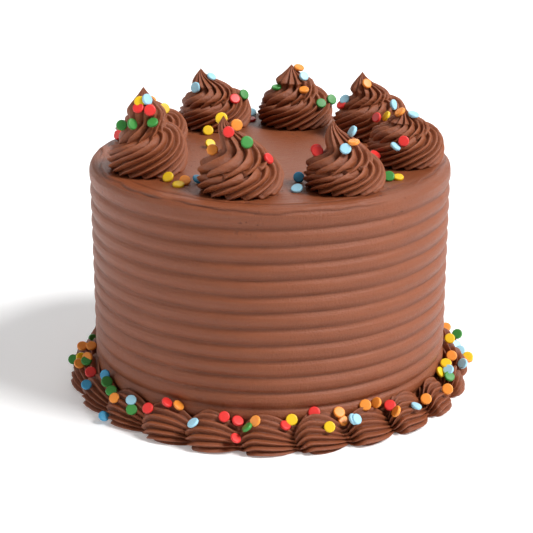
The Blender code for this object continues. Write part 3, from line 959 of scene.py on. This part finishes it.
class SprinkleJar:
    """Places for sprinkles, found by casting rays on the finished icing."""

    def __init__(self, sizes, draw):
        self.sizes = sizes
        self.draw = draw
        self.spots = {colour: [] for colour in COLOURS}
        self.surfaces = {}
        self.eye = bpy.context.scene.camera.location

    def surface(self, name):
        if name not in self.surfaces:
            mesh = bpy.data.objects[name].data
            faces = [tuple(face.vertices) for face in mesh.polygons]
            self.surfaces[name] = BVHTree.FromPolygons([point.co for point in mesh.vertices], faces)
        return self.surfaces[name]

    def view_of(self, spot):
        """The way from a spot to the camera, and the camera's right."""
        view = (self.eye - spot).normalized()
        return view, Vector((0, 0, 1)).cross(view).normalized()

    def seen_as(self, spot, openly, side):
        """The way a disc at a spot faces, by how openly it is seen and where its face leans."""
        view, right = self.view_of(spot)
        lean = right * cos(radians(side)) + view.cross(right) * sin(radians(side))
        return view * openly + lean * sqrt(1.0 - openly * openly)

    def drop(self, colour, names, place, way, seen=None):
        """Lay a sprinkle where the line through a place along a way first meets one of the pieces."""
        best = None
        for name in names:
            spot, normal, _, _ = self.surface(name).ray_cast(place + way * REACH, -way, 2.0 * REACH)
            if spot is not None and (best is None or (spot - best[0]).dot(way) > 0.0):
                best = (spot, normal, name)
        if best is None:
            return False
        spot, normal, name = best
        # A strewn disc faces between the icing's own way and the one it came by, and a little up.
        shake = Vector([self.draw.uniform(-0.3, 0.3) for _ in range(3)])
        facing = (normal + way * 0.7 + Vector((0, 0, 0.3)) + shake).normalized()
        if seen is not None:
            facing = self.seen_as(spot, *seen)
        elif self.in_sight(spot + way * self.sizes.radius):
            return False
        rise = self.rise_above(self.surface(name), spot, facing, way)
        size = self.draw.uniform(0.94, 1.05)
        proud = self.sizes.thick * 0.5 - self.sizes.sunk
        self.spots[colour].append((spot + way * rise + facing * proud, facing, size))
        return True

    def in_sight(self, spot):
        """Whether the camera sees some of a disc at a spot past all the icing."""
        view, right = self.view_of(spot)
        right = right * self.sizes.radius * 1.5
        above = Vector((0, 0, self.sizes.radius * 1.5))
        pieces = ["cake_body", "shell_border"] + PIPED
        for edge in (spot, spot + right, spot - right, spot + above):
            if all(self.surface(name).ray_cast(edge, view, 1.0)[0] is None for name in pieces):
                return True
        return False

    def rise_above(self, surface, spot, facing, way):
        """How far a disc at a spot has to move along a way to rest on what lies under it."""
        side = facing.orthogonal().normalized() * self.sizes.radius
        rises = [0.0]
        for share, count in FEELERS:
            for step in range(count):
                rim = spot + Matrix.Rotation(tau * step / count, 3, facing) @ side * share
                under, _, _, _ = surface.ray_cast(rim + way * REACH, -way, 2.0 * REACH)
                if under is not None:
                    rises.append((under - rim).dot(way))
        mean = sum(rises) / len(rises)
        return mean + (max(rises) - mean) * PROPPED

    def on_swirl(self, colour, number, bearing, height, seen=None):
        """A sprinkle in sight is dropped along the view, and others straight at the swirl's axis."""
        node, azimuth, distance, base, full, lean = SWIRLS[number - 1][:6]
        share = min(max((height / full - LEAN_FROM) / (LEAN_TO - LEAN_FROM), 0.0), 1.0)
        drift = Vector((lean * share * share * (3.0 - 2.0 * share), 0.0, 0.0))
        axis = around(azimuth, distance, top_height() + height) + drift
        place = axis + around(bearing, base * (1.0 - height / full) ** 0.8, 0.0)
        if seen:
            view = (self.eye - place).normalized()
            if abs(bearing) > FAR_SIDE:
                view.negate()
            if self.drop(colour, [node + "_piped"], place, view, seen):
                return
        self.drop(colour, [node + "_piped"], place, around(bearing, 1.0, 0.0), seen)

    def on_border(self, colour, azimuth, lift, seen=None):
        shells = bpy.context.scene.cake_shells
        angle = radians(lift)
        outward = around(azimuth, cos(angle), sin(angle))
        full = 1.0 / hypot(cos(angle) / shells.out, sin(angle) / shells.up)
        place = around(azimuth, shells.wall, 0.0) + outward * full
        if seen:
            view = (self.eye - place).normalized()
            if self.drop(colour, ["shell_border", "cake_body"], place, view, seen):
                return
        self.drop(colour, ["shell_border"], place, outward, seen)

    def from_above(self, colour, azimuth, distance, seen):
        """A sprinkle that dropped on the top, or on the shoulder of a swirl there."""
        place = around(azimuth, distance, top_height() + 0.01)
        self.drop(colour, ["cake_body"] + PIPED, place, Vector((0, 0, 1)), seen)


class CAKE_OT_sprinkles(bpy.types.Operator):
    """Strew the sprinkles: those in front as listed, those behind by a seeded rule"""
    bl_idname = "cake.sprinkles"
    bl_label = "Sprinkles"

    def execute(self, context):
        sizes = context.scene.cake_sprinkles
        draw = random.Random(31)
        jar = SprinkleJar(sizes, draw)
        for number, rows in SWIRL_SPRINKLES.items():
            for colour, bearing, height, *seen in rows:
                jar.on_swirl(colour, number, bearing, height / 1000.0, seen)
        for colour, azimuth, distance, *seen in DROPPED_SPRINKLES:
            jar.from_above(colour, azimuth, distance / 1000.0, seen)
        for colour, azimuth, lift, *seen in BORDER_SPRINKLES:
            seen = seen or (draw.uniform(0.8, 0.98), draw.uniform(0, 180))
            jar.on_border(colour, azimuth, lift, seen)
        self.strew_behind(jar, draw)
        disc = sprinkle_disc(sizes)
        for colour, spots in jar.spots.items():
            self.make_piece(colour, spots, disc, draw)
        bpy.data.objects.remove(disc, do_unlink=True)
        return {"FINISHED"}

    def strew_behind(self, jar, draw):
        """Strew the sides that face away from the camera, and leave out what would come into its sight."""
        colours = list(COLOURS)
        for number, row in enumerate(SWIRLS, 1):
            for _ in range(STREWN_ON_SWIRL):
                bearing = 180.0 + draw.uniform(-75.0, 75.0)
                height = row[4] * draw.uniform(0.3, 0.85)
                jar.on_swirl(draw.choice(colours), number, bearing, height)
        azimuth = BEHIND_FROM
        while azimuth < BEHIND_TO:
            jar.on_border(draw.choice(colours), azimuth, draw.triangular(20.0, 85.0, 60.0))
            azimuth += draw.uniform(1.5, 4.5)

    def make_piece(self, colour, spots, disc, draw):
        mesh = plain_mesh("spots", [spot for spot, _, _ in spots])
        facing = mesh.attributes.new("facing", "FLOAT_VECTOR", "POINT")
        size = mesh.attributes.new("size", "FLOAT_VECTOR", "POINT")
        for index, (_, direction, share) in enumerate(spots):
            facing.data[index].vector = direction
            size.data[index].vector = (share, share, draw.uniform(0.93, 1.05))
        material = sugar_material("sugar_" + colour, COLOURS[colour])
        piled = grow("sprinkles_" + colour, sprinkle_tree(material), {"Disc": disc}, mesh)
        add_piece("sprinkles_" + colour, piled, material, [])


class CAKE_OT_stage(bpy.types.Operator):
    """Set up the floor, the lights and the camera"""
    bl_idname = "cake.stage"
    bl_label = "Stage"

    def execute(self, context):
        sizes = context.scene.cake_stage
        scene = context.scene
        scene.view_settings.view_transform = "Standard"
        wide = FLOOR_REACH
        corners = [(-wide, -wide, 0), (wide, -wide, 0), (wide, wide, 0), (-wide, wide, 0)]
        mesh = plain_mesh("floor", corners, [(0, 1, 2, 3)])
        paint, shader, _ = start_material("floor_paint")
        set_inputs(shader, {
            "Base Color": (0.9, 0.9, 0.9, 1), "Roughness": 0.7, "Emission Color": (1, 1, 1, 1),
            "Emission Strength": 0.2})
        mesh.materials.append(paint)
        start_object("floor", mesh)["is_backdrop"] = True
        camera = start_object("camera", bpy.data.cameras.new("camera"))
        camera.data.lens = sizes.lens
        camera.data.sensor_width = 36.0
        camera.location = (-sizes.aside, -sizes.distance, sizes.eye)
        camera.rotation_euler = (radians(90.0 - sizes.pitch), 0.0, 0.0)
        scene.camera = camera
        scene.world = bpy.data.worlds.new("world")
        scene.world.use_nodes = True
        background = scene.world.node_tree.nodes["Background"]
        set_inputs(background, {"Color": (1, 1, 1, 1), "Strength": sizes.ambient})
        for name, azimuth, rise, width in LAMPS:
            lamp = bpy.data.lights.new(name, "SUN")
            lamp.energy = getattr(sizes, name)
            lamp.angle = radians(width)
            way = around(azimuth, 1.0, tan(radians(rise)))
            start_object(name, lamp).rotation_euler = way.to_track_quat("Z", "Y").to_euler()
        return {"FINISHED"}


GROUPS = {
    "cake_body": CakeBodySizes,
    "cake_swirls": SwirlSizes,
    "cake_shells": ShellSizes,
    "cake_sprinkles": SprinkleSizes,
    "cake_finish": Finishes,
    "cake_stage": StageSizes,
}
OPERATORS = (CAKE_OT_stage, CAKE_OT_body, CAKE_OT_swirls, CAKE_OT_border, CAKE_OT_sprinkles)


class CAKE_PT_panel(bpy.types.Panel):
    """Lists the cake's parts and their sizes"""
    bl_idname = "CAKE_PT_panel"
    bl_label = "Piped Layer Cake"
    bl_space_type = "VIEW_3D"
    bl_region_type = "UI"
    bl_category = "Cake"

    def draw(self, context):
        for name, group in GROUPS.items():
            box = self.layout.box()
            box.label(text=group.__doc__)
            for prop in group.__annotations__:
                box.prop(getattr(context.scene, name), prop)
        for operator in OPERATORS:
            self.layout.operator(operator.bl_idname)


def register():
    for name, group in GROUPS.items():
        bpy.utils.register_class(group)
        setattr(bpy.types.Scene, name, PointerProperty(type=group))
    for kind in (*OPERATORS, CAKE_PT_panel):
        bpy.utils.register_class(kind)


def unregister():
    for kind in (CAKE_PT_panel, *reversed(OPERATORS)):
        bpy.utils.unregister_class(kind)
    for name, group in GROUPS.items():
        delattr(bpy.types.Scene, name)
        bpy.utils.unregister_class(group)


def main():
    register()
    for operator in OPERATORS:
        family, name = operator.bl_idname.split(".")
        getattr(getattr(bpy.ops, family), name)()
    boxes = {"cad": CAD_BOX, "visual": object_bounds()}
    boxes = {name: [list(corner) for corner in box] for name, box in boxes.items()}


if __name__ == "__main__":
    main()
